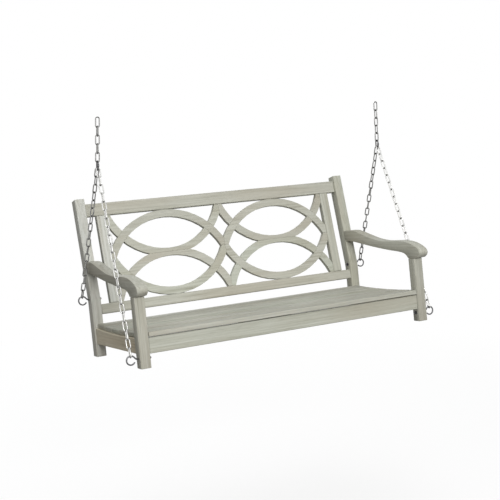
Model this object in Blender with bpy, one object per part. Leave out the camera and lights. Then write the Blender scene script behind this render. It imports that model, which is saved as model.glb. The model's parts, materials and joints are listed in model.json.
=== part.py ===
"""Porch swing seat: a slatted timber bench that hangs on two steel chains.

Metres, +Z up.  The origin lies midway between the two ceiling hooks, at the
height where the inside of each top link rests on its hook.  +X runs from left
to right as seen from the front, and the front faces -Y.  The bench is modelled
upright in its own frame (x = 0 at mid width, y = 0 at the front legs' front
face, z = 0 under the feet), and the empty "seat_frame" hangs it from the chains.
"""

import math

import bmesh
import bpy
from mathutils import Matrix, Vector

# ---------------------------------------------------------------- dimensions
JOINT_GAP = 0.0003            # between two pieces that touch

# bench, overall
BENCH_WIDTH = 1.320
POST_WIDTH = 0.042
FRONT_POST_DEPTH = 0.042
FRONT_POST_HEIGHT = 0.271
REAR_POST_DEPTH = 0.046
REAR_POST_HEIGHT = 0.663
REAR_POST_Y = 0.509           # front face of the rear legs
KNEE_HEIGHT = 0.235           # the rear post leans back above this height
KNEE_RADIUS = 0.16
BACK_RAKE = math.radians(10.6)
EDGE_ROUND = 0.0025

# seat
SEAT_FRONT_HEIGHT = 0.135     # top of the front slat
SEAT_REAR_RISE = 0.003
SEAT_DISH = 0.008             # how far the middle slats sink
SLAT_COUNT = 6
SLAT_THICKNESS = 0.018
SLAT_GAP = 0.007
SLAT_OVERHANG = 0.016         # how far the slat ends stop inside the posts' outer faces
SLAT_NOSE = 0.001             # front slat's edge ahead of the legs
SLAT_CLEARANCE = 0.0015       # round the legs, and ahead of the rear legs
APRON_THICKNESS = 0.022
APRON_BOTTOM = 0.053
APRON_SHADOW_GAP = 0.003      # dark line under the front slat
APRON_SETBACK = 0.003
SIDE_RAIL_THICKNESS = 0.024
SIDE_RAIL_SETBACK = 0.006
BRACE_THICKNESS = 0.024

# back frame, measured along the rake
RAIL_THICKNESS = 0.028
TOP_RAIL_DROP = 0.027         # rail top below the post top
TOP_RAIL_HEIGHT = 0.054
BOTTOM_RAIL_HEIGHT = 0.041
PANEL_HEIGHT = 0.375          # between the rails
STILE_WIDTH = 0.042
STILE_POST_GAP = 0.044        # open slot between the stile and the post
FRET_WIDTH = 0.033
FRET_THICKNESS = 0.020
FRET_STEPS = 20               # straight pieces along each arc

# arms: heights are above the front post's top.  In the two spans the first number is
# the share of the way from the front post to the rear one; in the nose it is metres.
ARM_TOP_SPAN = ((1.109, 0.127), (0.9165, 0.128), (0.799, 0.117), (0.563, 0.089),
                (0.370, 0.077), (0.146, 0.077))
ARM_NOSE = ((0.045, 0.071), (0.000, 0.059), (-0.032, 0.043), (-0.044, 0.029),
            (-0.041, 0.015), (-0.026, 0.004))
ARM_UNDERSIDE_SPAN = ((1.109, 0.081), (0.938, 0.077), (0.767, 0.066), (0.574, 0.052), (0.338, 0.038),
                      (0.156, 0.030), (0.064, 0.022), (0.021, 0.011), (0.002, 0.000))
ARM_INNER_PROUD = 0.001       # past the post's inner face
ARM_OUTER_PROUD = 0.002       # past the post's outer face
ARM_ROUND = 0.006
ARM_CURVE_STEPS = 3           # points for each stretch of the curves above

# eye bolts
EYE_WIRE_RADIUS = 0.003
EYE_RADIUS = 0.017            # of the ring's centre line
EYE_STANDOFF = 0.030          # ring centre from the post's outer face
EYE_LEAD_ANGLE = math.radians(45)
EYE_END_ANGLE = math.radians(330)
EYE_SIDES = 8
FRONT_EYE_HEIGHT = 0.037
REAR_EYE_HEIGHT = 0.240
BOLT_CLEARANCE = 0.0005
WASHER_RADIUS = 0.0085
WASHER_THICKNESS = 0.0015
NUT_ACROSS_FLATS = 0.010
NUT_THICKNESS = 0.005
BOLT_TAIL = 0.003             # bolt end past its nut

# chain
WIRE_RADIUS = 0.0025
LINK_PITCH = 0.0345
LINK_SLACK = 0.005             # inside width of a link beyond one wire
LINK_BITE = 0.001             # how deep two links of one run sink into each other
LINK_SIDES = 5
CROWN_STEPS = 4                # even, so that a crown has a point at its tip
FRONT_LINKS = 22
REAR_LINKS = 17               # an odd run takes a quarter turn of twist along its length
CONNECTOR_WIRE_RADIUS = 0.00275
CONNECTOR_SLACK = 0.0012      # inside width of the quick link beyond two wires
CONNECTOR_LENGTH = 0.042      # outside
SLEEVE_RADIUS = 0.0048
SLEEVE_LENGTH = 0.012
APEX_INSET = 0.031            # the chains meet this far inside the plane of the eyes
HANGER_LEAN = math.radians(2.98)  # in line with the pull of the two chains below

# how the bench hangs: its centre of mass lies under the chains' tops
SEAT_PITCH = math.radians(9.44)

# ----------------------------------------------------------- derived dimensions
HALF_WIDTH = BENCH_WIDTH / 2
POST_INNER_X = HALF_WIDTH - POST_WIDTH
EYE_X = HALF_WIDTH + EYE_STANDOFF
WIRE = 2 * WIRE_RADIUS
QUARTER_TURN = math.pi / 2
LINK_LENGTH = LINK_PITCH + WIRE               # crown to crown, centre lines
RUN_LINK_LENGTH = LINK_LENGTH - LINK_BITE
CHAIN_SPACING = WIRE + JOINT_GAP              # between the two chains in the connector
LINK_HALF_WIDTH = WIRE + LINK_SLACK / 2
CONNECTOR_INNER_WIDTH = 2 * WIRE + CONNECTOR_SLACK
CONNECTOR_HALF_WIDTH = CONNECTOR_INNER_WIDTH / 2 + CONNECTOR_WIRE_RADIUS
CONNECTOR_SPAN = CONNECTOR_LENGTH - 2 * CONNECTOR_WIRE_RADIUS
# a crown's facets cut this far inside its arc
CROWN_CUT = LINK_HALF_WIDTH * (1 - math.cos(QUARTER_TURN / CROWN_STEPS))
# from the centre of an eye's wire to the centre of the last crown's
EYE_HOLD = EYE_WIRE_RADIUS + WIRE_RADIUS + JOINT_GAP + CROWN_CUT
FRONT_EYE = Vector((0, FRONT_POST_DEPTH / 2, FRONT_EYE_HEIGHT))
REAR_EYE = Vector((0, REAR_POST_Y + REAR_POST_DEPTH / 2, REAR_EYE_HEIGHT))
SIDES = (("left", -1), ("right", 1))

# stations down the hanging chain, from the hook, on centre lines
TOP_LINK_START = -WIRE_RADIUS
SWING_STATION = TOP_LINK_START + LINK_LENGTH
SECOND_LINK_START = SWING_STATION - WIRE - JOINT_GAP
SWAY_STATION = SECOND_LINK_START + LINK_LENGTH
HANGER_START = SWAY_STATION - WIRE - JOINT_GAP
HANGER_LINKS = 2
LEVEL_STATION = HANGER_START + (HANGER_LINKS - 1) * LINK_PITCH + RUN_LINK_LENGTH
APEX_LINK_START = LEVEL_STATION - WIRE - JOINT_GAP
CONNECTOR_START = (APEX_LINK_START + LINK_LENGTH
                   - WIRE_RADIUS - CONNECTOR_WIRE_RADIUS - JOINT_GAP)
PITCH_STATION = CONNECTOR_START + CONNECTOR_SPAN - CONNECTOR_HALF_WIDTH
PITCH_AXIS_Z = -PITCH_STATION * math.cos(HANGER_LEAN)
APEX_X = EYE_X - APEX_INSET
HOOK_X = APEX_X - PITCH_STATION * math.sin(HANGER_LEAN)


# ------------------------------------------------------------------- materials
def make_material(name, colour, roughness, metallic=0.0):
    material = bpy.data.materials.new(name)
    material.use_nodes = True
    shader = material.node_tree.nodes["Principled BSDF"]
    shader.inputs["Base Color"].default_value = (*colour, 1.0)
    shader.inputs["Roughness"].default_value = roughness
    shader.inputs["Metallic"].default_value = metallic
    material.diffuse_color = (*colour, 1.0)
    return material


# --------------------------------------------------------------- mesh helpers
def add_object(name, bm, material, parent=None):
    """Turn a bmesh into a named object under a parent empty."""
    bmesh.ops.recalc_face_normals(bm, faces=bm.faces)
    mesh = bpy.data.meshes.new(name)
    bm.to_mesh(mesh)
    bm.free()
    mesh.materials.append(material)
    obj = bpy.data.objects.new(name, mesh)
    bpy.context.scene.collection.objects.link(obj)
    obj.parent = parent
    return obj


def extrude_outline(outline, low, high, place):
    """A closed prism: a 2-D outline swept from low to high, mapped by place(u, v, w)."""
    bm = bmesh.new()
    face = bm.faces.new([bm.verts.new(place(u, v, low)) for u, v in outline])
    grown = bmesh.ops.extrude_face_region(bm, geom=[face])
    shift = place(*outline[0], high) - place(*outline[0], low)
    moved = [item for item in grown["geom"] if isinstance(item, bmesh.types.BMVert)]
    bmesh.ops.translate(bm, verts=moved, vec=shift)
    return bm


def along_x(u, v, w):
    """Outline in YZ, swept along X."""
    return Vector((w, u, v))


def along_y(u, v, w):
    """Outline in XZ, swept along Y."""
    return Vector((u, w, v))


def along_z(u, v, w):
    """Outline in XY, swept along Z."""
    return Vector((u, v, w))


def box_outline(low_u, high_u, low_v, high_v):
    return [(low_u, low_v), (high_u, low_v), (high_u, high_v), (low_u, high_v)]


def round_edges(obj, width=EDGE_ROUND, segments=1):
    bevel = obj.modifiers.new("round_edges", "BEVEL")
    bevel.width = width
    bevel.segments = segments
    bevel.limit_method = "ANGLE"
    bevel.angle_limit = math.radians(30)
    return obj


def cut_with(obj, cutter):
    """Take the cutter's volume out of an object, with a Boolean that stays on it."""
    cutter.hide_render = True
    cutter.display_type = "WIRE"
    cut = obj.modifiers.new("cut_" + cutter.name, "BOOLEAN")
    cut.object = cutter
    cut.operation = "DIFFERENCE"
    cut.solver = "EXACT"


def join_with(obj, other):
    """Merge another object that overlaps this one into it."""
    join = obj.modifiers.new("join", "BOOLEAN")
    join.object = other
    join.operation = "UNION"
    join.solver = "EXACT"
    apply_modifiers(obj)
    drop(other)


def apply_modifiers(obj):
    """Bake an object's modifiers into its mesh."""
    bpy.context.view_layer.update()
    evaluated = obj.evaluated_get(bpy.context.evaluated_depsgraph_get())
    mesh = bpy.data.meshes.new_from_object(evaluated)
    obj.modifiers.clear()
    obj.data = mesh


def drop(*objects):
    for obj in objects:
        bpy.data.objects.remove(obj)


def tube(points, radius, sides):
    """A round wire along a planar or nearly planar path, closed at both ends."""
    bm = bmesh.new()
    points = [Vector(point) for point in points]
    rings = []
    across = None
    for index, point in enumerate(points):
        before = points[max(index - 1, 0)]
        after = points[min(index + 1, len(points) - 1)]
        tangent = (after - before).normalized()
        if across is None:
            helper = Vector((0, 1, 0)) if abs(tangent.y) < 0.9 else Vector((1, 0, 0))
            across = tangent.cross(helper).normalized()
        across = (across - tangent * across.dot(tangent)).normalized()
        up = tangent.cross(across)
        ring = []
        for side in range(sides):
            angle = 2 * math.pi * side / sides
            offset = across * math.cos(angle) + up * math.sin(angle)
            ring.append(bm.verts.new(point + radius * offset))
        rings.append(ring)
    for low, high in zip(rings, rings[1:]):
        for side in range(sides):
            after = (side + 1) % sides
            bm.faces.new((low[side], low[after], high[after], high[side]))
    bm.faces.new(rings[0])
    bm.faces.new(rings[-1])
    return bm


def annulus(inner, outer, low, high):
    """A ring along X between two outlines of equally many points in YZ."""
    bm = bmesh.new()
    loops = []
    for outline, x in ((inner, low), (outer, low), (outer, high), (inner, high)):
        loops.append([bm.verts.new((x, y, z)) for y, z in outline])
    count = len(inner)
    for first, second in zip(loops, loops[1:] + loops[:1]):
        for index in range(count):
            after = (index + 1) % count
            bm.faces.new((first[index], first[after], second[after], second[index]))
    return bm


def circle_outline(centre, radius, count):
    return [(centre[0] + radius * math.cos(2 * math.pi * i / count),
             centre[1] + radius * math.sin(2 * math.pi * i / count))
            for i in range(count)]


def hexagon_outline(centre, across_flats):
    """Twelve points on a hexagon: its corners and the middles of its sides."""
    outline = []
    for index in range(12):
        corner = index % 2 == 0
        reach = across_flats / 2 / (math.cos(math.pi / 6) if corner else 1)
        angle = math.pi * index / 6
        outline.append((centre[0] + reach * math.cos(angle), centre[1] + reach * math.sin(angle)))
    return outline


def clip_outline(outline, normal, offset):
    """Keep the part of a 2-D outline where normal . point >= offset."""
    kept = []
    for index, point in enumerate(outline):
        following = outline[(index + 1) % len(outline)]
        here = normal[0] * point[0] + normal[1] * point[1] - offset
        there = normal[0] * following[0] + normal[1] * following[1] - offset
        if here >= 0:
            kept.append(point)
        if (here >= 0) != (there >= 0):
            share = here / (here - there)
            kept.append((point[0] + share * (following[0] - point[0]),
                         point[1] + share * (following[1] - point[1])))
    return kept


def smooth_through(points, steps):
    """Catmull-Rom curve through 2-D points, with some steps for each span."""
    curve = []
    for index in range(len(points) - 1):
        before = Vector(points[max(index - 1, 0)])
        start = Vector(points[index])
        end = Vector(points[index + 1])
        after = Vector(points[min(index + 2, len(points) - 1)])
        for step in range(steps):
            t = step / steps
            point = 0.5 * (2 * start + (end - before) * t
                           + (2 * before - 5 * start + 4 * end - after) * t ** 2
                           + (3 * start - before - 3 * end + after) * t ** 3)
            curve.append(tuple(point))
    curve.append(tuple(points[-1]))
    return curve


# ------------------------------------------------------------------ bench frame
def rear_face_y(height):
    """Front face of the rear post at a height above the knee."""
    return REAR_POST_Y + (height - KNEE_HEIGHT) * math.tan(BACK_RAKE)


def rear_post_outline():
    """Side view of the rear post: an upright leg that bends back into the rake."""
    reach = KNEE_RADIUS * math.tan(BACK_RAKE / 2)
    bend = []
    for step in range(4):
        angle = BACK_RAKE * step / 3
        bend.append((angle,
                     REAR_POST_Y + KNEE_RADIUS * (1 - math.cos(angle)),
                     KNEE_HEIGHT - reach + KNEE_RADIUS * math.sin(angle)))
    front = [(REAR_POST_Y, 0.0)]
    back = [(REAR_POST_Y + REAR_POST_DEPTH, 0.0)]
    for angle, y, z in bend:
        front.append((y, z))
        back.append((y + REAR_POST_DEPTH * math.cos(angle), z - REAR_POST_DEPTH * math.sin(angle)))
    top_y = rear_face_y(REAR_POST_HEIGHT)
    front.append((top_y, REAR_POST_HEIGHT))
    back.append((top_y + REAR_POST_DEPTH * math.cos(BACK_RAKE),
                 REAR_POST_HEIGHT - REAR_POST_DEPTH * math.sin(BACK_RAKE)))
    return front + back[::-1]


def bolt_hole(name, eye, parent):
    radius = EYE_WIRE_RADIUS + BOLT_CLEARANCE
    bm = extrude_outline(circle_outline((eye.y, eye.z), radius, 12), -1.5 * HALF_WIDTH, 1.5 * HALF_WIDTH,
                         along_x)
    return add_object(name, bm, bpy.data.materials["galvanised_steel"], parent)


def build_posts(seat, wood):
    front_hole = bolt_hole("front_hole", FRONT_EYE, seat)
    rear_hole = bolt_hole("rear_hole", REAR_EYE, seat)
    for side, sign in SIDES:
        low, high = sorted((sign * POST_INNER_X, sign * HALF_WIDTH))
        outline = box_outline(0, FRONT_POST_DEPTH, 0, FRONT_POST_HEIGHT - JOINT_GAP)
        front = add_object("front_post_" + side, extrude_outline(outline, low, high, along_x), wood, seat)
        rear = add_object("rear_post_" + side,
                          extrude_outline(rear_post_outline(), low, high, along_x), wood, seat)
        for post, hole in ((front, front_hole), (rear, rear_hole)):
            round_edges(post, segments=2)
            cut_with(post, hole)
            apply_modifiers(post)
    drop(front_hole, rear_hole)


def seat_height(y):
    """Top of the seat: a shallow dish between its front and rear edges."""
    share = y / REAR_POST_Y
    return SEAT_FRONT_HEIGHT + SEAT_REAR_RISE * share - 4 * SEAT_DISH * share * (1 - share)


def slat_edges():
    """Front and rear edge of every slat."""
    first = -SLAT_NOSE
    last = REAR_POST_Y - SLAT_CLEARANCE
    width = (last - first - (SLAT_COUNT - 1) * SLAT_GAP) / SLAT_COUNT
    return [(first + i * (width + SLAT_GAP), first + i * (width + SLAT_GAP) + width)
            for i in range(SLAT_COUNT)]


def slat_line(edges, y):
    """Height of one slat's straight top at y."""
    front, rear = edges
    share = (y - front) / (rear - front)
    return seat_height(front) + share * (seat_height(rear) - seat_height(front))


def bearer_top(front, rear):
    """Top outline of a piece that carries the slats, from front to rear, one facet a slat."""
    drop_below = SLAT_THICKNESS + JOINT_GAP
    slats = slat_edges()
    corners = [front]
    for ahead, behind in zip(slats, slats[1:]):
        corners.append((ahead[1] + behind[0]) / 2)
    corners.append(rear)
    outline = []
    for index, y in enumerate(corners):
        touching = [slats[i] for i in (index - 1, index) if 0 <= i < len(slats)]
        outline.append((y, min(slat_line(slat, y) for slat in touching) - drop_below))
    return outline


def build_slats(seat, wood):
    end_x = HALF_WIDTH - SLAT_OVERHANG
    notch_x = POST_INNER_X - SLAT_CLEARANCE
    notch_y = FRONT_POST_DEPTH + SLAT_CLEARANCE
    for index, (front, rear) in enumerate(slat_edges()):
        slope = math.atan2(seat_height(rear) - seat_height(front), rear - front)
        length = (rear - front) / math.cos(slope)
        if index == 0:
            notch = (notch_y - front) / math.cos(slope)
            outline = [(-notch_x, 0), (notch_x, 0), (notch_x, notch), (end_x, notch), (end_x, length),
                       (-end_x, length), (-end_x, notch), (-notch_x, notch)]
        else:
            outline = box_outline(-end_x, end_x, 0, length)
        slat = add_object("seat_slat_%d" % (index + 1),
                          extrude_outline(outline, -SLAT_THICKNESS, 0, along_z), wood, seat)
        slat.location = (0, front, seat_height(front))
        slat.rotation_euler.x = slope
        round_edges(slat)


def build_seat_frame(seat, wood):
    rail_y = (FRONT_POST_DEPTH + JOINT_GAP, REAR_POST_Y - JOINT_GAP)
    rail_outline = bearer_top(*rail_y) + [(rail_y[1], APRON_BOTTOM), (rail_y[0], APRON_BOTTOM)]
    for side, sign in SIDES:
        outer = sign * (HALF_WIDTH - SIDE_RAIL_SETBACK)
        inner = sign * (HALF_WIDTH - SIDE_RAIL_SETBACK - SIDE_RAIL_THICKNESS)
        bm = extrude_outline(rail_outline, *sorted((inner, outer)), along_x)
        round_edges(add_object("side_rail_" + side, bm, wood, seat))

    reach = POST_INNER_X - JOINT_GAP
    front_low = APRON_SETBACK
    front_high = front_low + APRON_THICKNESS
    slats = slat_edges()
    front_top = slat_line(slats[0], front_low) - SLAT_THICKNESS - APRON_SHADOW_GAP
    bm = extrude_outline(box_outline(front_low, front_high, APRON_BOTTOM, front_top), -reach, reach, along_x)
    round_edges(add_object("front_apron", bm, wood, seat))

    rear_low = REAR_POST_Y + (REAR_POST_DEPTH - APRON_THICKNESS) / 2
    bm = extrude_outline(box_outline(rear_low, rear_low + APRON_THICKNESS, APRON_BOTTOM, front_top),
                         -reach, reach, along_x)
    round_edges(add_object("rear_apron", bm, wood, seat))

    brace_y = (front_high + JOINT_GAP, rear_low - JOINT_GAP)
    brace_outline = bearer_top(*brace_y) + [(brace_y[1], APRON_BOTTOM), (brace_y[0], APRON_BOTTOM)]
    bm = extrude_outline(brace_outline, -BRACE_THICKNESS / 2, BRACE_THICKNESS / 2, along_x)
    round_edges(add_object("seat_brace", bm, wood, seat))


def arm_span(points):
    """Points of an arm between the posts, from shares of the way to y, and from the post top to z."""
    reach = REAR_POST_Y - FRONT_POST_DEPTH
    return [(FRONT_POST_DEPTH + share * reach, FRONT_POST_HEIGHT + rise) for share, rise in points]


def build_arms(seat, wood):
    nose = [(y, FRONT_POST_HEIGHT + rise) for y, rise in ARM_NOSE]
    top = smooth_through(arm_span(ARM_TOP_SPAN) + nose, ARM_CURVE_STEPS)
    underside = smooth_through(arm_span(ARM_UNDERSIDE_SPAN), ARM_CURVE_STEPS)
    normal = (-math.cos(BACK_RAKE), math.sin(BACK_RAKE))
    face = normal[0] * REAR_POST_Y + normal[1] * KNEE_HEIGHT + JOINT_GAP
    seat_on_post = [(FRONT_POST_DEPTH, FRONT_POST_HEIGHT), (0.0, FRONT_POST_HEIGHT)]
    outline = clip_outline(top + seat_on_post[::-1] + underside[::-1][1:], normal, face)
    for side, sign in SIDES:
        inner = sign * (POST_INNER_X - ARM_INNER_PROUD)
        outer = sign * (HALF_WIDTH + ARM_OUTER_PROUD)
        bm = extrude_outline(outline, *sorted((inner, outer)), along_x)
        arm = add_object("arm_" + side, bm, wood, seat)
        round_edges(arm, ARM_ROUND, 2)


# ------------------------------------------------------------------- back frame
def build_back_frame(back, wood):
    """Rails and stiles, in the raked frame: z runs up the rake, y = 0 is the posts' middle."""
    reach = POST_INNER_X - JOINT_GAP
    half = PANEL_HEIGHT / 2
    rails = (("top_rail", half, half + TOP_RAIL_HEIGHT),
             ("bottom_rail", -half - BOTTOM_RAIL_HEIGHT, -half))
    for name, low, high in rails:
        bm = extrude_outline(box_outline(-reach, reach, low, high),
                             -RAIL_THICKNESS / 2, RAIL_THICKNESS / 2, along_y)
        round_edges(add_object(name, bm, wood, back))
    outer = POST_INNER_X - STILE_POST_GAP
    for side, sign in SIDES:
        low, high = sorted((sign * outer, sign * (outer - STILE_WIDTH)))
        bm = extrude_outline(box_outline(low, high, -half + JOINT_GAP, half - JOINT_GAP),
                             -RAIL_THICKNESS / 2, RAIL_THICKNESS / 2, along_y)
        round_edges(add_object("stile_" + side, bm, wood, back))


def fret_band(centre_x, half_span, crown_to_middle, half_height, width, flip):
    """Outline of one curved bar.  Crown-to-middle bars sag from the corners to mid height."""
    if crown_to_middle:
        sagitta = half_height
    else:
        sagitta = half_height - FRET_WIDTH / 2
    radius = (half_span ** 2 + sagitta ** 2) / (2 * sagitta)
    reach = math.asin(half_span / radius) + width / radius
    points = []
    for edge, order in ((radius + width / 2, 1), (radius - width / 2, -1)):
        for step in range(FRET_STEPS + 1):
            angle = order * reach * (2 * step / FRET_STEPS - 1)
            x = centre_x + edge * math.sin(angle)
            lift = edge * math.cos(angle)
            z = radius - lift if crown_to_middle else sagitta - radius + lift
            points.append((x, flip * z))
    return points


def build_fretwork(back, wood):
    """Two panels of four arcs.  Arcs that cross are halved into each other."""
    half_height = PANEL_HEIGHT / 2
    panel_edge = POST_INNER_X - STILE_POST_GAP - STILE_WIDTH
    half_span = panel_edge / 2
    half_gap = JOINT_GAP / 2
    deep = FRET_THICKNESS
    for side, sign in SIDES:
        centre_x = sign * half_span
        for level, flip in (("upper", 1), ("lower", -1)):
            bars = []
            for shape, crown_to_middle in (("bow", False), ("sag", True)):
                outline = fret_band(centre_x, half_span, crown_to_middle, half_height, FRET_WIDTH, flip)
                outline = clip_outline(outline, (0, flip), half_gap)
                outline = clip_outline(outline, (0, -flip), -(half_height - JOINT_GAP))
                outline = clip_outline(outline, (sign, 0), half_gap)
                outline = clip_outline(outline, (-sign, 0), -(panel_edge - JOINT_GAP))
                bm = extrude_outline(outline, -FRET_THICKNESS / 2, FRET_THICKNESS / 2, along_y)
                bars.append(add_object("fret_%s_%s_%s" % (side, level, shape), bm, wood, back))
            wide = FRET_WIDTH + 2 * JOINT_GAP
            lanes = []
            for crown_to_middle, low, high in ((True, -half_gap, deep), (False, -deep, half_gap)):
                outline = fret_band(centre_x, half_span, crown_to_middle, half_height, wide, flip)
                bm = extrude_outline(outline, low, high, along_y)
                lanes.append(add_object("lane", bm, wood, back))
            for bar, lane in zip(bars, lanes):
                cut_with(bar, lane)
                apply_modifiers(bar)
            drop(*lanes)


# -------------------------------------------------------------------- hardware
def eye_path(sign, eye):
    """Centre line of an eye bolt: threaded end, shank, lead-in, then the open ring."""
    inner_end = -POST_WIDTH - WASHER_THICKNESS - NUT_THICKNESS - BOLT_TAIL
    flat = [(inner_end, 0.0), (-POST_WIDTH / 2, 0.0), (0.002, 0.0)]
    start = Vector((0.002, 0.0))
    ring_start = Vector((EYE_STANDOFF - EYE_RADIUS * math.cos(EYE_LEAD_ANGLE),
                         EYE_RADIUS * math.sin(EYE_LEAD_ANGLE)))
    heading = Vector((math.sin(EYE_LEAD_ANGLE), math.cos(EYE_LEAD_ANGLE)))
    pull = (ring_start - start).length / 3
    first = start + Vector((pull, 0))
    second = ring_start - heading * pull
    for step in range(1, 4):
        t = step / 4
        flat.append(tuple(start * (1 - t) ** 3 + first * 3 * t * (1 - t) ** 2
                          + second * 3 * t ** 2 * (1 - t) + ring_start * t ** 3))
    for step in range(17):
        angle = EYE_LEAD_ANGLE + (EYE_END_ANGLE - EYE_LEAD_ANGLE) * step / 16
        flat.append((EYE_STANDOFF - EYE_RADIUS * math.cos(angle), EYE_RADIUS * math.sin(angle)))
    return [(sign * (HALF_WIDTH + u), eye.y, eye.z + v) for u, v in flat]


def build_eye_bolts(seat, steel):
    bore = EYE_WIRE_RADIUS + BOLT_CLEARANCE
    for end, eye in (("front", FRONT_EYE), ("rear", REAR_EYE)):
        centre = (eye.y, eye.z)
        for side, sign in SIDES:
            tag = "%s_%s" % (end, side)
            add_object("eye_bolt_" + tag, tube(eye_path(sign, eye), EYE_WIRE_RADIUS, EYE_SIDES),
                       steel, seat)
            near = POST_INNER_X - JOINT_GAP
            far = near - WASHER_THICKNESS
            bm = annulus(circle_outline(centre, bore, 12), circle_outline(centre, WASHER_RADIUS, 12),
                         sign * near, sign * far)
            add_object("washer_" + tag, bm, steel, seat)
            near = far - JOINT_GAP
            bm = annulus(circle_outline(centre, bore, 12), hexagon_outline(centre, NUT_ACROSS_FLATS),
                         sign * near, sign * (near - NUT_THICKNESS))
            add_object("nut_" + tag, bm, steel, seat)


# ----------------------------------------------------------------------- chain
def add_link(bm, top, direction, across, length, half_width, radius, sides):
    """One long link: a closed loop of round wire that starts at its top crown."""
    normal = direction.cross(across)
    path = []
    for end in (0, 1):
        middle = top + direction * (half_width if end == 0 else length - half_width)
        for step in range(CROWN_STEPS + 1):
            angle = math.pi * step / CROWN_STEPS
            if end == 0:
                spoke = across * math.cos(angle) - direction * math.sin(angle)
            else:
                spoke = direction * math.sin(angle) - across * math.cos(angle)
            path.append((middle + half_width * spoke, spoke))
    rings = []
    for point, spoke in path:
        ring = []
        for side in range(sides):
            angle = math.pi + 2 * math.pi * side / sides
            offset = spoke * math.cos(angle) + normal * math.sin(angle)
            ring.append(bm.verts.new(point + radius * offset))
        rings.append(ring)
    for index, ring in enumerate(rings):
        following = rings[(index + 1) % len(rings)]
        for side in range(sides):
            after = (side + 1) % sides
            bm.faces.new((ring[side], ring[after], following[after], following[side]))


def add_chain_link(bm, top, direction, turn, length):
    """A link as wide as X at no turn, turned round the chain's own line."""
    widthways = (Vector((1, 0, 0)) - direction * direction.x).normalized()
    across = widthways * math.cos(turn) + widthways.cross(direction) * math.sin(turn)
    add_link(bm, top, direction, across, length, LINK_HALF_WIDTH, WIRE_RADIUS, LINK_SIDES)


def build_link(name, steel, top, direction, turn):
    """One loose link."""
    bm = bmesh.new()
    add_chain_link(bm, top, direction, turn, LINK_LENGTH)
    return add_object(name, bm, steel)


def build_run(name, steel, top, direction, count, pitch):
    """Links hooked into each other and merged into one body.

    The first link is as wide as X, and the last one is turned a quarter from it.
    """
    twist = 0 if count % 2 == 0 else QUARTER_TURN / (count - 1)
    halves = []
    for parity in (0, 1):
        bm = bmesh.new()
        for index in range(parity, count, 2):
            turn = (QUARTER_TURN + twist) * index
            add_chain_link(bm, top + direction * (pitch * index), direction, turn, RUN_LINK_LENGTH)
        halves.append(add_object(name + "_%d" % parity, bm, steel))
    run = halves[0]
    run.name = name
    join_with(run, halves[1])
    return run


def ring_top(eye):
    return eye + Vector((0, 0, EYE_RADIUS))


def run_reach(count):
    """Distance from the connector's middle to the eye's wire for a run of links."""
    return (count - 1) * LINK_PITCH + RUN_LINK_LENGTH - EYE_HOLD


def find_apex():
    """Where both chains of one side meet, in the bench frame, from the two chain lengths."""
    front = ring_top(FRONT_EYE)
    rear = ring_top(REAR_EYE)
    base = rear - front
    front_reach = math.sqrt(run_reach(FRONT_LINKS) ** 2 - APEX_INSET ** 2)
    rear_reach = math.sqrt(run_reach(REAR_LINKS) ** 2 - APEX_INSET ** 2)
    along = (front_reach ** 2 - rear_reach ** 2 + base.length_squared) / (2 * base.length)
    height = math.sqrt(front_reach ** 2 - along ** 2)
    unit = base.normalized()
    return front + unit * along + Vector((0, -unit.z, unit.y)) * height


def build_chains(steel, dark_steel, seat_matrix):
    for side, sign in SIDES:
        hook = Vector((sign * HOOK_X, 0, 0))
        down = Vector((sign * math.sin(HANGER_LEAN), 0, -math.cos(HANGER_LEAN)))
        build_link("top_link_" + side, steel, hook + down * TOP_LINK_START, down, 0)
        build_link("second_link_" + side, steel, hook + down * SECOND_LINK_START, down, QUARTER_TURN)
        build_run("hanger_chain_" + side, steel, hook + down * HANGER_START, down, HANGER_LINKS, LINK_PITCH)
        build_link("apex_link_" + side, steel, hook + down * APEX_LINK_START, down, 0)
        build_connector(side, hook + down * CONNECTOR_START, down, dark_steel)
        build_v_chains(side, sign, hook + down * PITCH_STATION, down, steel, seat_matrix)


def build_connector(side, top, down, dark_steel):
    """A quick link with a screw sleeve on its front leg."""
    bm = bmesh.new()
    frontways = Vector((0, 1, 0))
    add_link(bm, top, down, frontways, CONNECTOR_SPAN, CONNECTOR_HALF_WIDTH, CONNECTOR_WIRE_RADIUS, 8)
    link = add_object("connector_" + side, bm, dark_steel)
    leg = top + down * CONNECTOR_SPAN / 2 - frontways * CONNECTOR_HALF_WIDTH
    ends = [leg + down * reach for reach in (-SLEEVE_LENGTH / 2, SLEEVE_LENGTH / 2)]
    join_with(link, add_object("sleeve_" + side, tube(ends, SLEEVE_RADIUS, 8), dark_steel))


def build_v_chains(side, sign, apex, down, steel, seat_matrix):
    """The two runs of one side, from the connector to the front and rear eyes."""
    sideways = CHAIN_SPACING / 2
    runs = (("front", FRONT_EYE, FRONT_LINKS, -1), ("rear", REAR_EYE, REAR_LINKS, 1))
    for end, eye, count, toward in runs:
        top = apex + Vector((0, toward * sideways, 0))
        hold = seat_matrix @ (ring_top(eye) + Vector((sign * EYE_X, 0, 0)))
        direction = (hold - top).normalized()
        reach = (hold - top).length + EYE_HOLD
        pitch = (reach - RUN_LINK_LENGTH) / (count - 1)
        build_run("%s_chain_%s" % (end, side), steel, top, direction, count, pitch)


# ------------------------------------------------------------------------ main
def add_empty(name, parent=None):
    empty = bpy.data.objects.new(name, None)
    empty.empty_display_size = 0.05
    bpy.context.scene.collection.objects.link(empty)
    empty.parent = parent
    return empty


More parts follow.
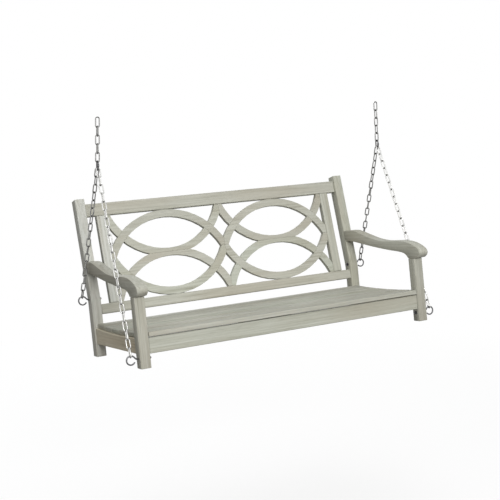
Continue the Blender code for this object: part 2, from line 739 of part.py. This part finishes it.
def main():
    for obj in list(bpy.data.objects):
        bpy.data.objects.remove(obj)

    wood = make_material("washed_wood", (0.47, 0.47, 0.40), 0.75)
    steel = make_material("galvanised_steel", (0.50, 0.50, 0.49), 0.45, 0.9)
    dark_steel = make_material("dark_steel", (0.16, 0.16, 0.17), 0.45, 0.9)

    tilt = Matrix.Rotation(-SEAT_PITCH, 4, "X")
    apex = find_apex()
    seat = add_empty("seat_frame")
    seat.rotation_euler.x = -SEAT_PITCH
    seat.location = Vector((0, 0, PITCH_AXIS_Z)) - (tilt @ apex)
    seat_matrix = Matrix.Translation(seat.location) @ tilt

    back = add_empty("back_frame", seat)
    middle = (REAR_POST_HEIGHT - (TOP_RAIL_DROP + TOP_RAIL_HEIGHT + PANEL_HEIGHT / 2) * math.cos(BACK_RAKE))
    back.location = (0, rear_face_y(middle) + REAR_POST_DEPTH / 2 / math.cos(BACK_RAKE), middle)
    back.rotation_euler.x = -BACK_RAKE

    build_posts(seat, wood)
    build_slats(seat, wood)
    build_seat_frame(seat, wood)
    build_arms(seat, wood)
    build_back_frame(back, wood)
    build_fretwork(back, wood)
    build_eye_bolts(seat, steel)
    build_chains(steel, dark_steel, seat_matrix)


main()
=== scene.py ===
"""Looks for the porch swing seat: white-washed timber, galvanised chains, dark fittings.

Metres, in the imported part's own frame.  Every visible piece rides on the CAD body
that it belongs to.  Timber pieces are eased copies of their CAD nodes; chains, eye
bolts and quick links are remade with round wire on the same centre lines, and the
nuts and washers are the CAD nodes themselves.
"""

import json
import math

import bmesh
import bpy
from mathutils import Matrix, Vector


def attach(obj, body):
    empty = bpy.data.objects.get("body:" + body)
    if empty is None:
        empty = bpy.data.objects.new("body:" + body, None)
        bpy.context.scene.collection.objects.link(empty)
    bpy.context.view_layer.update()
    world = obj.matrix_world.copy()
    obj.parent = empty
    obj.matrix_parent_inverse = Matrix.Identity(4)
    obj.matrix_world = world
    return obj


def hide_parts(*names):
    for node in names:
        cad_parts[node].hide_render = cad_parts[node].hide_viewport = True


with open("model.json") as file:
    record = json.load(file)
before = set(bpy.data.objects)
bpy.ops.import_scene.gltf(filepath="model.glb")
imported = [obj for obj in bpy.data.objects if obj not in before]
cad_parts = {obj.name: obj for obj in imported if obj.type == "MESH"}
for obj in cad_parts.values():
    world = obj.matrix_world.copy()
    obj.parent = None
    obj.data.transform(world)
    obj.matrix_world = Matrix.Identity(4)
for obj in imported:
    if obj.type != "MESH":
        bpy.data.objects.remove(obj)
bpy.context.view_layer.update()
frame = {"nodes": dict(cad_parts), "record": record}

JOINTS = {joint["name"]: joint for joint in frame["record"]["behaviour"]["joints"]}
MOUNTS = {mount["name"]: mount for mount in frame["record"]["mounts"]}
SIDES = (("left", -1), ("right", 1))
QUARTER_TURN = math.pi / 2

# ------------------------------------------------------------ sizes of the part
LEG_HALF_DEPTH = 0.021        # the front foot mount is this far behind the bench's front
BACK_RAKE = math.radians(10.6)

WIRE_RADIUS = 0.0025
LINK_PITCH = 0.0345
LINK_HALF_WIDTH = 0.005 + WIRE_RADIUS
LINK_LENGTH = LINK_PITCH + 2 * WIRE_RADIUS
LINK_BITE = 0.001             # in the long runs, as in the CAD
RUN_LINK_LENGTH = LINK_LENGTH - LINK_BITE
JOINT_GAP = 0.0003
HANGER_LEAN = math.radians(2.98)
HANGER_LINKS = 2
FRONT_LINKS = 22
REAR_LINKS = 17
CHAIN_SPACING = 0.0053

CONNECTOR_WIRE_RADIUS = 0.00275
CONNECTOR_INNER_WIDTH = 0.0112
CONNECTOR_HALF_WIDTH = CONNECTOR_INNER_WIDTH / 2 + CONNECTOR_WIRE_RADIUS
CONNECTOR_SPAN = 0.042 - 2 * CONNECTOR_WIRE_RADIUS
SLEEVE_RADIUS = 0.0047
SLEEVE_LENGTH = 0.012

HALF_WIDTH = 0.660
POST_WIDTH = 0.042
EYE_WIRE_RADIUS = 0.003
EYE_RADIUS = 0.017
EYE_STANDOFF = 0.030
EYE_LEAD_ANGLE = math.radians(45)
EYE_END_ANGLE = math.radians(330)
EYE_TAIL = 0.0095             # washer, nut and bolt end past the post
EYE_NECK = 0.002              # straight wire between the post and the lead-in
EYE_LEAD_STEPS = 8
EYE_STEPS = 40
EYES = {"front": (0.021, 0.037), "rear": (0.532, 0.240)}    # each bolt hole, back and up
CROWN_CUT = LINK_HALF_WIDTH * (1 - math.cos(QUARTER_TURN / 4))   # of the CAD's faceted crowns
EYE_HOLD = EYE_WIRE_RADIUS + WIRE_RADIUS + JOINT_GAP + CROWN_CUT

CHAMFER_WIDTH = 0.0042        # faces no wider than this are a board's edges, worn and with painted shade
EASE_WIDTH = 0.0007
EASE_ANGLE = math.radians(28)     # edges sharper than this are eased
WELD_DISTANCE = 0.00002
FLAT_ANGLE = math.radians(1)      # faces this close to one plane become one
PLAIN_CAST = (1.0, 1.0, 1.0)
RAIL_BROWN_AND_PAINTED_LIGHT = (1.50, 1.36, 1.25)    # the side rails are a warmer, browner timber, and painted brighter as painted light against the shade they sit in
PALE_CAST = (1.26, 1.28, 1.36)    # the left rear post and stile are whiter and cooler
GOLDEN_STEP = 0.618           # spreads the boards' places in the grain
# which way each board's grain runs; the first name that a node starts with counts
GRAIN = {"seat_slat": "length", "front_apron": "front", "rear_apron": "front",
         "top_rail": "front", "bottom_rail": "front", "fret": "front",
         "front_post": "upright", "rear_post_left": "pale_post", "rear_post": "upright",
         "stile_left": "pale_stile", "stile": "raked",
         "arm": "depth", "side_rail": "rail", "seat_brace": "depth"}
COLLAR_LENGTH = 0.0015        # at each end of the quick link's sleeve
COLLAR_SHARE = 0.86           # of the sleeve's radius
COLLAR_SIDES = 16
LINK_SIDES = 10               # around the wire of a chain link
CONNECTOR_SIDES = 12
EYE_SIDES = 14
LINK_BEND_STEPS = 10          # along each rounded end of a link
CONNECTOR_BEND_STEPS = 12
HEXAGON = 6
BACK_LEVEL = Vector((0, 1, 0))

# ------------------------------------------------------------- colours and steels
STREAK_TONES = ((0.27, (0.250, 0.240, 0.190)), (0.42, (0.388, 0.388, 0.334)),
                (0.58, (0.455, 0.457, 0.407)), (0.78, (0.530, 0.535, 0.490)))
BOARD_TONES = ((0.0, (0.93, 0.925, 0.90)), (0.5, (1.0, 0.99, 0.97)), (1.0, (0.96, 0.985, 0.945)))
WASH_TONE = (0.472, 0.480, 0.436)
STAIN_TONE = (0.368, 0.336, 0.272)
WORN_AND_SHADED_EDGE_TONE = (0.300, 0.270, 0.215)     # bare timber along the edges, and a painted shade line on every edge
RUBBED_TONE = (0.055, 0.052, 0.048)   # where one link rubs the next
# name, pale and dark mottle, roughness, strength of the rubbed places
GALVANISED = ("galvanised_wire", (0.70, 0.70, 0.68), (0.46, 0.46, 0.45), 0.38, 0.9)
# a darker copy of the galvanised wire: painted shade on the rear and hanger chains
SHADED_GALVANISED = ("shaded_galvanised_wire", (0.34, 0.34, 0.33), (0.16, 0.16, 0.16), 0.42, 0.9)
BLACKENED = ("blackened_steel", (0.16, 0.16, 0.16), (0.07, 0.07, 0.075), 0.36, 0.5)

# ------------------------------------------------------------- camera and stage
CAMERA_PLACE = Vector((-2.000, -3.872, 0.269))
CAMERA_TARGET = Vector((0.005, 0.0, -0.597))
CAMERA_ROLL = math.radians(-1.32)
CAMERA_LENS = 74.8
CAMERA_SENSOR = 36.0          # millimetres, as the lens is
FLOOR_HEIGHT = -1.9
FLOOR_RADIUS = 60.0
FLOOR_FADE = 14.0             # metres; the floor is white from 0.26 of this on
FLOOR_GLOW = 0.10             # how strongly the floor lights the underside
AMBIENT = 0.27                # how strongly the white surroundings light the timber
# name, place, target, diameter, power in watts, colour
LIGHTS = (("key", (-1.2, -6.4, 1.6), (0, 0, -0.6), 3.2, 392, (1.0, 0.99, 0.975)),
          ("top", (-0.3, -0.6, 3.4), (0, 0, -0.6), 2.6, 62, (0.97, 0.985, 1.0)),
          ("back", (0.8, 5.6, 2.0), (0, 0, -0.6), 3.2, 190, (0.97, 0.985, 1.0)),
          ("side", (-4.6, -0.8, -1.1), (0, 0, -0.7), 2.0, 12, (1.0, 0.93, 0.84)))


# ----------------------------------------------------------------- node helpers
class Nodes:
    """A short way to write a material's nodes."""

    def __init__(self, name):
        self.material = bpy.data.materials.new(name)
        self.material.use_nodes = True
        self.tree = self.material.node_tree
        self.shader = self.tree.nodes["Principled BSDF"]

    def add(self, kind, inputs=None, **settings):
        node = self.tree.nodes.new(kind)
        for key, value in settings.items():
            setattr(node, key, value)
        for key, value in (inputs or {}).items():
            if isinstance(value, bpy.types.NodeSocket):
                self.tree.links.new(value, node.inputs[key])
            else:
                node.inputs[key].default_value = value
        return node

    def mapped(self, vector, scale, rotation=(0, 0, 0), location=(0, 0, 0)):
        inputs = {"Vector": vector, "Scale": scale, "Rotation": rotation, "Location": location}
        return self.add("ShaderNodeMapping", inputs).outputs["Vector"]

    def noise(self, vector, scale=1.0, detail=4.0, roughness=0.55, distortion=0.0):
        inputs = {"Vector": vector, "Scale": scale, "Detail": detail, "Roughness": roughness,
                  "Distortion": distortion}
        return self.add("ShaderNodeTexNoise", inputs).outputs["Fac"]

    def ramp(self, value, *stops):
        node = self.add("ShaderNodeValToRGB", {"Fac": value})
        elements = node.color_ramp.elements
        while len(elements) < len(stops):
            elements.new(0.5)
        for element, (position, colour) in zip(elements, stops):
            element.position = position
            element.color = (*colour, 1.0) if isinstance(colour, tuple) else (colour, colour, colour, 1.0)
        return node.outputs["Color"]

    def mix(self, factor, first, second, blend="MIX"):
        node = self.add("ShaderNodeMix", data_type="RGBA", blend_type=blend)
        for socket, value in ((node.inputs[0], factor), (node.inputs[6], first), (node.inputs[7], second)):
            if isinstance(value, bpy.types.NodeSocket):
                self.tree.links.new(value, socket)
            else:
                socket.default_value = value
        return node.outputs[2]

    def math(self, operation, first, second):
        node = self.add("ShaderNodeMath", {0: first, 1: second}, operation=operation)
        return node.outputs[0]

    def attribute(self, name):
        return self.add("ShaderNodeAttribute", attribute_name=name).outputs["Fac"]

    def object_point(self):
        return self.add("ShaderNodeTexCoord").outputs["Object"]

    def bump(self, height, strength, distance):
        inputs = {"Height": height, "Strength": strength, "Distance": distance}
        self.shader_input("Normal", self.add("ShaderNodeBump", inputs).outputs["Normal"])

    def shader_input(self, name, value):
        if isinstance(value, bpy.types.NodeSocket):
            self.tree.links.new(value, self.shader.inputs[name])
        else:
            self.shader.inputs[name].default_value = value


# -------------------------------------------------------------------- materials
def wood_material(name, to_board, cast, worn_and_shaded=False):
    """White-washed hardwood; to_board turns the part's frame so that the grain runs along X."""
    nodes = Nodes(name)
    board = nodes.attribute("board")
    shift = nodes.add("ShaderNodeCombineXYZ", {"X": board, "Y": board, "Z": board}).outputs["Vector"]
    turned = nodes.mapped(nodes.object_point(), (1, 1, 1), to_board.to_euler())
    point = nodes.add("ShaderNodeVectorMath", {0: turned, 1: shift}, operation="ADD").outputs["Vector"]

    streaks = nodes.noise(nodes.mapped(point, (2.4, 120, 120)), detail=6, roughness=0.60, distortion=0.2)
    pores = nodes.noise(nodes.mapped(point, (26, 640, 640)), detail=3, roughness=0.6)
    patches = nodes.noise(nodes.mapped(point, (2.2, 11, 11)), detail=3, roughness=0.5, distortion=0.6)
    inputs = {"Vector": nodes.mapped(point, (0.09, 1, 1), location=(0, 0.043, 0.061)), "Scale": 34.0,
              "Distortion": 2.4, "Detail": 3.0, "Detail Scale": 0.6, "Detail Roughness": 0.55}
    rings = nodes.add("ShaderNodeTexWave", inputs, wave_type="RINGS", rings_direction="X").outputs["Fac"]

    streak_colour = nodes.ramp(streaks, *STREAK_TONES)
    ring_shade = nodes.ramp(rings, (0.0, 0.90), (0.5, 1.0), (1.0, 1.0))
    colour = nodes.mix(0.8, streak_colour, ring_shade, "MULTIPLY")
    wash = nodes.ramp(patches, (0.40, 0.0), (0.70, 0.60))
    colour = nodes.mix(wash, colour, (*WASH_TONE, 1.0))
    stain = nodes.noise(nodes.mapped(point, (1.3, 9, 9), location=(4, 2, 7)), detail=3, roughness=0.5)
    colour = nodes.mix(nodes.ramp(stain, (0.45, 0.0), (0.68, 0.55)), colour, (*STAIN_TONE, 1.0))
    pore_shade = nodes.ramp(pores, (0.34, 0.80), (0.50, 1.0))
    colour = nodes.mix(0.7, colour, pore_shade, "MULTIPLY")
    colour = nodes.mix(1.0, colour, nodes.ramp(board, *BOARD_TONES), "MULTIPLY")
    # the cast tints the timber; on the side rails it is also painted light that lifts their shade
    colour = nodes.mix(1.0, colour, (*cast, 1.0), "MULTIPLY")
    # darker edges: whitewash rubbed through to bare timber, and painted shade along each edge
    if worn_and_shaded:
        colour = nodes.mix(nodes.ramp(streaks, (0.35, 0.75), (0.65, 0.25)), colour, (*WORN_AND_SHADED_EDGE_TONE, 1.0))
    nodes.shader_input("Base Color", colour)
    nodes.shader_input("Roughness", nodes.ramp(streaks, (0.3, 0.84), (0.7, 0.66)))
    nodes.shader_input("Specular IOR Level", 0.3)
    relief = nodes.math("ADD", nodes.math("MULTIPLY", streaks, 0.7), nodes.math("MULTIPLY", pores, 0.3))
    nodes.bump(relief, 0.45, 0.0012)
    return nodes.material


def steel_material(name, pale, dark, roughness, grime):
    """Zinc-plated or blackened wire, mottled, and darker where links rub."""
    nodes = Nodes(name)
    mottle = nodes.noise(nodes.object_point(), scale=260.0, detail=4, roughness=0.6)
    colour = nodes.mix(nodes.ramp(mottle, (0.32, 0.0), (0.68, 1.0)), (*dark, 1.0), (*pale, 1.0))
    rubbed = nodes.math("MULTIPLY", nodes.attribute("rubbed"), grime)
    colour = nodes.mix(rubbed, colour, (*RUBBED_TONE, 1.0))
    nodes.shader_input("Base Color", colour)
    nodes.shader_input("Metallic", 1.0)
    nodes.shader_input("Roughness", nodes.ramp(mottle, (0.3, roughness + 0.12), (0.7, roughness - 0.06)))
    nodes.bump(mottle, 0.2, 0.0002)
    return nodes.material


# -------------------------------------------------------------- frames of the wood
def bench_axes():
    """The bench's own axes and origin in the part's frame, from its front foot."""
    foot = MOUNTS["front_foot_right"]
    up = -Vector(foot["axis"]).normalized()
    right = Vector((1, 0, 0))
    back = up.cross(right)
    origin = Vector(foot["pos_m"]) - back * LEG_HALF_DEPTH
    origin.x = 0
    return origin, right, back, up


BENCH_ORIGIN, RIGHT, BACK, UP = bench_axes()
RAKED_UP = UP * math.cos(BACK_RAKE) + BACK * math.sin(BACK_RAKE)


def bench_point(x, y, z):
    return BENCH_ORIGIN + RIGHT * x + BACK * y + UP * z


def board_turn(along, face):
    """The rotation that lays a board's grain along X and its face's normal along Z."""
    along = along.normalized()
    face = (face - along * face.dot(along)).normalized()
    return Matrix((along, face.cross(along), face))


# --------------------------------------------------------------------- timber
def eased_copy(node, surface, worn_and_shaded, board):
    """A copy of a timber node with softened edges and its own place in the grain."""
    source = frame["nodes"][node]
    mesh = source.data.copy()
    mesh.name = node + "_timber"
    bm = bmesh.new()
    bm.from_mesh(mesh)
    bmesh.ops.remove_doubles(bm, verts=bm.verts, dist=WELD_DISTANCE)
    bmesh.ops.dissolve_limit(bm, angle_limit=FLAT_ANGLE, verts=bm.verts, edges=bm.edges)
    for face in bm.faces:
        face.smooth = True
        widths = sorted(edge.calc_length() for edge in face.edges)
        face.material_index = 1 if len(face.edges) == 4 and widths[0] < CHAMFER_WIDTH else 0
    bm.to_mesh(mesh)
    bm.free()
    mesh.materials.clear()
    mesh.materials.append(surface)
    mesh.materials.append(worn_and_shaded)
    if "custom_normal" in mesh.attributes:
        mesh.attributes.remove(mesh.attributes["custom_normal"])
    mark = mesh.attributes.new("board", "FLOAT", "POINT")
    mark.data.foreach_set("value", [board] * len(mesh.vertices))
    piece = bpy.data.objects.new(node + "_timber", mesh)
    bpy.context.scene.collection.objects.link(piece)

    ease = piece.modifiers.new("ease", "BEVEL")
    ease.width = EASE_WIDTH
    ease.segments = 2
    ease.limit_method = "ANGLE"
    ease.angle_limit = EASE_ANGLE
    ease.use_clamp_overlap = True
    ease.harden_normals = True
    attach(piece, "seat")
    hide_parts(node)


def make_timber():
    directions = {
        "length": board_turn(RIGHT, UP),
        "front": board_turn(RIGHT, BACK),
        "depth": board_turn(BACK, RIGHT),
        "upright": board_turn(UP, BACK),
        "raked": board_turn(RAKED_UP, BACK),
    }
    directions["rail"] = directions["depth"]
    directions["pale_post"] = directions["upright"]
    directions["pale_stile"] = directions["raked"]
    # the side rails' cast is partly painted light that lifts the shade they sit in
    casts = {"rail": RAIL_BROWN_AND_PAINTED_LIGHT, "pale_post": PALE_CAST, "pale_stile": PALE_CAST}
    surfaces = {}
    for key, turn in directions.items():
        cast = casts.get(key, PLAIN_CAST)
        surfaces[key] = (wood_material("washed_wood_" + key, turn, cast),
                         wood_material("worn_and_shaded_wood_" + key, turn, cast, worn_and_shaded=True))
    boards = [node for node in sorted(frame["nodes"]) if any(node.startswith(key) for key in GRAIN)]
    for index, node in enumerate(boards):
        key = next(key for key in GRAIN if node.startswith(key))
        surface, worn_and_shaded = surfaces[GRAIN[key]]
        eased_copy(node, surface, worn_and_shaded, (index * GOLDEN_STEP) % 1.0)


# ------------------------------------------------------------------- wire work
def sweep(bm, path, radius, sides, closed, rubbed=None):
    """A round wire along a path of (point, sideways) pairs; rubbed gives each ring's wear."""
    layer = bm.verts.layers.float.get("rubbed") or bm.verts.layers.float.new("rubbed")
    rings = []
    count = len(path)
    for index, (point, sideways) in enumerate(path):
        before = path[index - 1][0] if closed or index else point
        after = path[(index + 1) % count][0] if closed or index < count - 1 else point
        heading = (after - before).normalized()
        first = (sideways - heading * sideways.dot(heading)).normalized()
        second = heading.cross(first)
        ring = []
        for side in range(sides):
            angle = 2 * math.pi * side / sides
            vert = bm.verts.new(point + radius * (first * math.cos(angle) + second * math.sin(angle)))
            vert[layer] = rubbed[index] if rubbed else 0.0
            ring.append(vert)
        rings.append(ring)
    for index in range(count if closed else count - 1):
        ring, following = rings[index], rings[(index + 1) % count]
        for side in range(sides):
            after = (side + 1) % sides
            bm.faces.new((ring[side], ring[after], following[after], following[side]))
    if not closed:
        bm.faces.new(list(reversed(rings[0])))
        bm.faces.new(rings[-1])


def link_path(top, direction, across, length, half_width, steps):
    """Centre line of one long link, and how much each point is rubbed by its neighbour."""
    path = []
    rubbed = []
    for end in (0, 1):
        middle = top + direction * (half_width if end == 0 else length - half_width)
        for step in range(steps + 1):
            angle = math.pi * step / steps
            if end == 0:
                spoke = across * math.cos(angle) - direction * math.sin(angle)
            else:
                spoke = direction * math.sin(angle) - across * math.cos(angle)
            path.append((middle + half_width * spoke, spoke))
            rubbed.append(math.sin(angle) ** 2)
    return path, rubbed


def add_link(bm, top, direction, turn, length):
    widthways = (RIGHT - direction * direction.x).normalized()
    across = widthways * math.cos(turn) + widthways.cross(direction) * math.sin(turn)
    path, rubbed = link_path(top, direction, across, length, LINK_HALF_WIDTH, LINK_BEND_STEPS)
    sweep(bm, path, WIRE_RADIUS, LINK_SIDES, True, rubbed)


def wire_piece(name, bm, material, body, slot, *nodes):
    """Finish a wire bmesh as a smooth piece that stands for CAD nodes."""
    bmesh.ops.recalc_face_normals(bm, faces=bm.faces)
    for face in bm.faces:
        face.smooth = len(face.verts) == 4
    mesh = bpy.data.meshes.new(name)
    bm.to_mesh(mesh)
    bm.free()
    mesh.materials.append(material)
    piece = bpy.data.objects.new(name, mesh)
    bpy.context.scene.collection.objects.link(piece)
    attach(piece, body)
    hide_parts(*nodes)


def run_piece(node, steel, body, top, direction, count, pitch, length):
    """A run of links, each a quarter turn on from the last."""
    twist = 0 if count % 2 == 0 else QUARTER_TURN / (count - 1)
    bm = bmesh.new()
    for index in range(count):
        add_link(bm, top + direction * (pitch * index), direction, (QUARTER_TURN + twist) * index, length)
    wire_piece(node + "_wire", bm, steel, body, "steel", node)


def quick_link(side, top, direction, dark):
    """The oval screw link that gathers both chains of one side."""
    bm = bmesh.new()
    frontways = -BACK_LEVEL
    path, rubbed = link_path(top, direction, -frontways, CONNECTOR_SPAN, CONNECTOR_HALF_WIDTH,
                             CONNECTOR_BEND_STEPS)
    sweep(bm, path, CONNECTOR_WIRE_RADIUS, CONNECTOR_SIDES, True, rubbed)
    leg = top + direction * CONNECTOR_SPAN / 2 + frontways * CONNECTOR_HALF_WIDTH
    hexagon = (SLEEVE_RADIUS, SLEEVE_LENGTH / 2 - COLLAR_LENGTH, HEXAGON)
    collars = (SLEEVE_RADIUS * COLLAR_SHARE, SLEEVE_LENGTH / 2, COLLAR_SIDES)
    for radius, half_length, sides in (hexagon, collars):
        ends = [(leg + direction * (sign * half_length), RIGHT) for sign in (-1, 1)]
        sweep(bm, ends, radius, sides, False)
    wire_piece("connector_%s_wire" % side, bm, dark, "apex_" + side, "dark_steel", "connector_" + side)


def eye_path(sign, eye):
    """Bolt, lead-in and open ring of an eye bolt, as in the CAD but with more points."""
    flat = [(-POST_WIDTH - EYE_TAIL, 0.0), (0.0, 0.0), (EYE_NECK, 0.0)]
    start = Vector((EYE_NECK, 0.0))
    ring_start = Vector((EYE_STANDOFF - EYE_RADIUS * math.cos(EYE_LEAD_ANGLE),
                         EYE_RADIUS * math.sin(EYE_LEAD_ANGLE)))
    heading = Vector((math.sin(EYE_LEAD_ANGLE), math.cos(EYE_LEAD_ANGLE)))
    pull = (ring_start - start).length / 3
    first = start + Vector((pull, 0))
    second = ring_start - heading * pull
    for step in range(1, EYE_LEAD_STEPS):
        t = step / EYE_LEAD_STEPS
        flat.append(tuple(start * (1 - t) ** 3 + first * 3 * t * (1 - t) ** 2
                          + second * 3 * t ** 2 * (1 - t) + ring_start * t ** 3))
    for step in range(EYE_STEPS + 1):
        angle = EYE_LEAD_ANGLE + (EYE_END_ANGLE - EYE_LEAD_ANGLE) * step / EYE_STEPS
        flat.append((EYE_STANDOFF - EYE_RADIUS * math.cos(angle), EYE_RADIUS * math.sin(angle)))
    y, z = EYES[eye]
    return [(bench_point(sign * (HALF_WIDTH + u), y, z + v), BACK) for u, v in flat]


def make_eye_bolts(dark):
    for eye in EYES:
        for side, sign in SIDES:
            node = "eye_bolt_%s_%s" % (eye, side)
            bm = bmesh.new()
            sweep(bm, eye_path(sign, eye), EYE_WIRE_RADIUS, EYE_SIDES, False)
            wire_piece(node + "_wire", bm, dark, "seat", "steel", node)


def make_hanger(side, hook, down, shaded_steel, dark):
    """The links of one side from its ceiling hook down to the quick link."""
    swing = LINK_LENGTH - WIRE_RADIUS
    second = swing - 2 * WIRE_RADIUS - JOINT_GAP
    hanger = second + LINK_LENGTH - 2 * WIRE_RADIUS - JOINT_GAP
    last = hanger + (HANGER_LINKS - 1) * LINK_PITCH + RUN_LINK_LENGTH - 2 * WIRE_RADIUS - JOINT_GAP
    shackle = last + LINK_LENGTH - WIRE_RADIUS - CONNECTOR_WIRE_RADIUS - JOINT_GAP
    # the hanger's links take the darker copy of the wire, as painted shade
    for node, body, start, turn in (("top_link_", "ceiling_links", -WIRE_RADIUS, 0),
                                    ("second_link_", "swing_links", second, QUARTER_TURN),
                                    ("apex_link_", "apex_" + side, last, 0)):
        bm = bmesh.new()
        add_link(bm, hook + down * start, down, turn, LINK_LENGTH)
        wire_piece(node + side + "_wire", bm, shaded_steel, body, "steel", node + side)
    run_piece("hanger_chain_" + side, shaded_steel, "hanger_" + side, hook + down * hanger, down,
              HANGER_LINKS, LINK_PITCH, RUN_LINK_LENGTH)
    quick_link(side, hook + down * shackle, down, dark)


def make_v_chains(side, sign, apex, bright, shaded_steel):
    """The two runs of one side, from beside the pitch axis to the front and rear eyes."""
    # the rear runs take the darker copy of the wire, as painted shade
    for eye, count, toward, steel in (("front", FRONT_LINKS, -1, bright), ("rear", REAR_LINKS, 1, shaded_steel)):
        top = apex + BACK_LEVEL * (toward * CHAIN_SPACING / 2)
        y, z = EYES[eye]
        hold = bench_point(sign * (HALF_WIDTH + EYE_STANDOFF), y, z + EYE_RADIUS)
        direction = (hold - top).normalized()
        reach = (hold - top).length + EYE_HOLD
        pitch = (reach - RUN_LINK_LENGTH) / (count - 1)
        name = "%s_chain_%s" % (eye, side)
        run_piece(name, steel, "seat", top, direction, count, pitch, RUN_LINK_LENGTH)


def make_chains(bright, shaded_steel, dark):
    pivot = Vector(JOINTS["pitch"]["pos_m"])
    for side, sign in SIDES:
        down = Vector((sign * math.sin(HANGER_LEAN), 0, -math.cos(HANGER_LEAN)))
        apex = Vector((sign * abs(pivot.x), pivot.y, pivot.z))
        hook = apex - down * (apex.z / down.z)
        make_hanger(side, hook, down, shaded_steel, dark)
        make_v_chains(side, sign, apex, bright, shaded_steel)


def dress_nuts_and_washers(dark):
    for name, node in frame["nodes"].items():
        if name.startswith(("nut_", "washer_")):
            for slot in node.material_slots:
                slot.material = dark


# ------------------------------------------------------------ floor, light, camera
def make_floor():
    """A pale floor that brightens into the backdrop far away."""
    bm = bmesh.new()
    bmesh.ops.create_circle(bm, cap_ends=True, segments=96, radius=FLOOR_RADIUS)
    mesh = bpy.data.meshes.new("floor")
    bm.to_mesh(mesh)
    bm.free()
    floor = bpy.data.objects.new("floor", mesh)
    floor.location.z = FLOOR_HEIGHT
    bpy.context.scene.collection.objects.link(floor)
    nodes = Nodes("pale_floor")
    length = nodes.add("ShaderNodeVectorMath", {0: nodes.object_point()}, operation="LENGTH")
    distance = nodes.math("DIVIDE", length.outputs["Value"], FLOOR_FADE)
    fade = nodes.ramp(distance, (0.0, 0.62), (0.26, 1.0))
    nodes.shader_input("Base Color", (0.97, 0.97, 0.97, 1.0))
    nodes.shader_input("Roughness", 0.9)
    diffuse = nodes.add("ShaderNodeLightPath").outputs["Is Diffuse Ray"]
    strength = nodes.add("ShaderNodeMapRange", {"Value": diffuse, "To Min": 1.0, "To Max": FLOOR_GLOW})
    glow = nodes.add("ShaderNodeEmission", {"Color": (1, 1, 1, 1), "Strength": strength.outputs["Result"]})
    blend = nodes.add("ShaderNodeMixShader", {0: nodes.math("MAXIMUM", fade, diffuse)})
    nodes.tree.links.new(nodes.shader.outputs[0], blend.inputs[1])
    nodes.tree.links.new(glow.outputs[0], blend.inputs[2])
    nodes.tree.links.new(blend.outputs[0], nodes.tree.nodes["Material Output"].inputs["Surface"])
    mesh.materials.append(nodes.material)


def make_world():
    """A white studio: bright to look at and in reflections, softer as a light."""
    world = bpy.data.worlds.new("studio")
    bpy.context.scene.world = world
    world.use_nodes = True
    tree = world.node_tree
    background = tree.nodes["Background"]
    background.inputs["Color"].default_value = (1, 1, 1, 1)
    path = tree.nodes.new("ShaderNodeLightPath")
    diffuse = tree.nodes.new("ShaderNodeMapRange")
    diffuse.inputs["To Min"].default_value = 1.0
    diffuse.inputs["To Max"].default_value = AMBIENT
    tree.links.new(path.outputs["Is Diffuse Ray"], diffuse.inputs["Value"])
    tree.links.new(diffuse.outputs["Result"], background.inputs["Strength"])


def add_light(name, place, target, size, power, colour):
    data = bpy.data.lights.new(name, "AREA")
    data.shape = "DISK"
    data.size = size
    data.energy = power
    data.color = colour
    light = bpy.data.objects.new(name, data)
    light.location = place
    light.rotation_euler = (Vector(target) - Vector(place)).to_track_quat("-Z", "Y").to_euler()
    bpy.context.scene.collection.objects.link(light)


def make_camera():
    data = bpy.data.cameras.new("camera")
    data.lens = CAMERA_LENS
    data.sensor_width = CAMERA_SENSOR
    camera = bpy.data.objects.new("camera", data)
    aim = (CAMERA_TARGET - CAMERA_PLACE).to_track_quat("-Z", "Y").to_matrix()
    turn = aim @ Matrix.Rotation(CAMERA_ROLL, 3, "Z")
    camera.matrix_world = Matrix.Translation(CAMERA_PLACE) @ turn.to_4x4()
    bpy.context.scene.collection.objects.link(camera)
    bpy.context.scene.camera = camera


make_camera()
make_floor()
make_world()
for light in LIGHTS:
    add_light(*light)

make_timber()
galvanised = steel_material(*GALVANISED)
# painted shade: the galvanised wire made darker for the rear and hanger chains
shaded_galvanised = steel_material(*SHADED_GALVANISED)
blackened = steel_material(*BLACKENED)
make_chains(galvanised, shaded_galvanised, blackened)
make_eye_bolts(blackened)
dress_nuts_and_washers(blackened)

bpy.context.scene.view_settings.view_transform = "Standard"
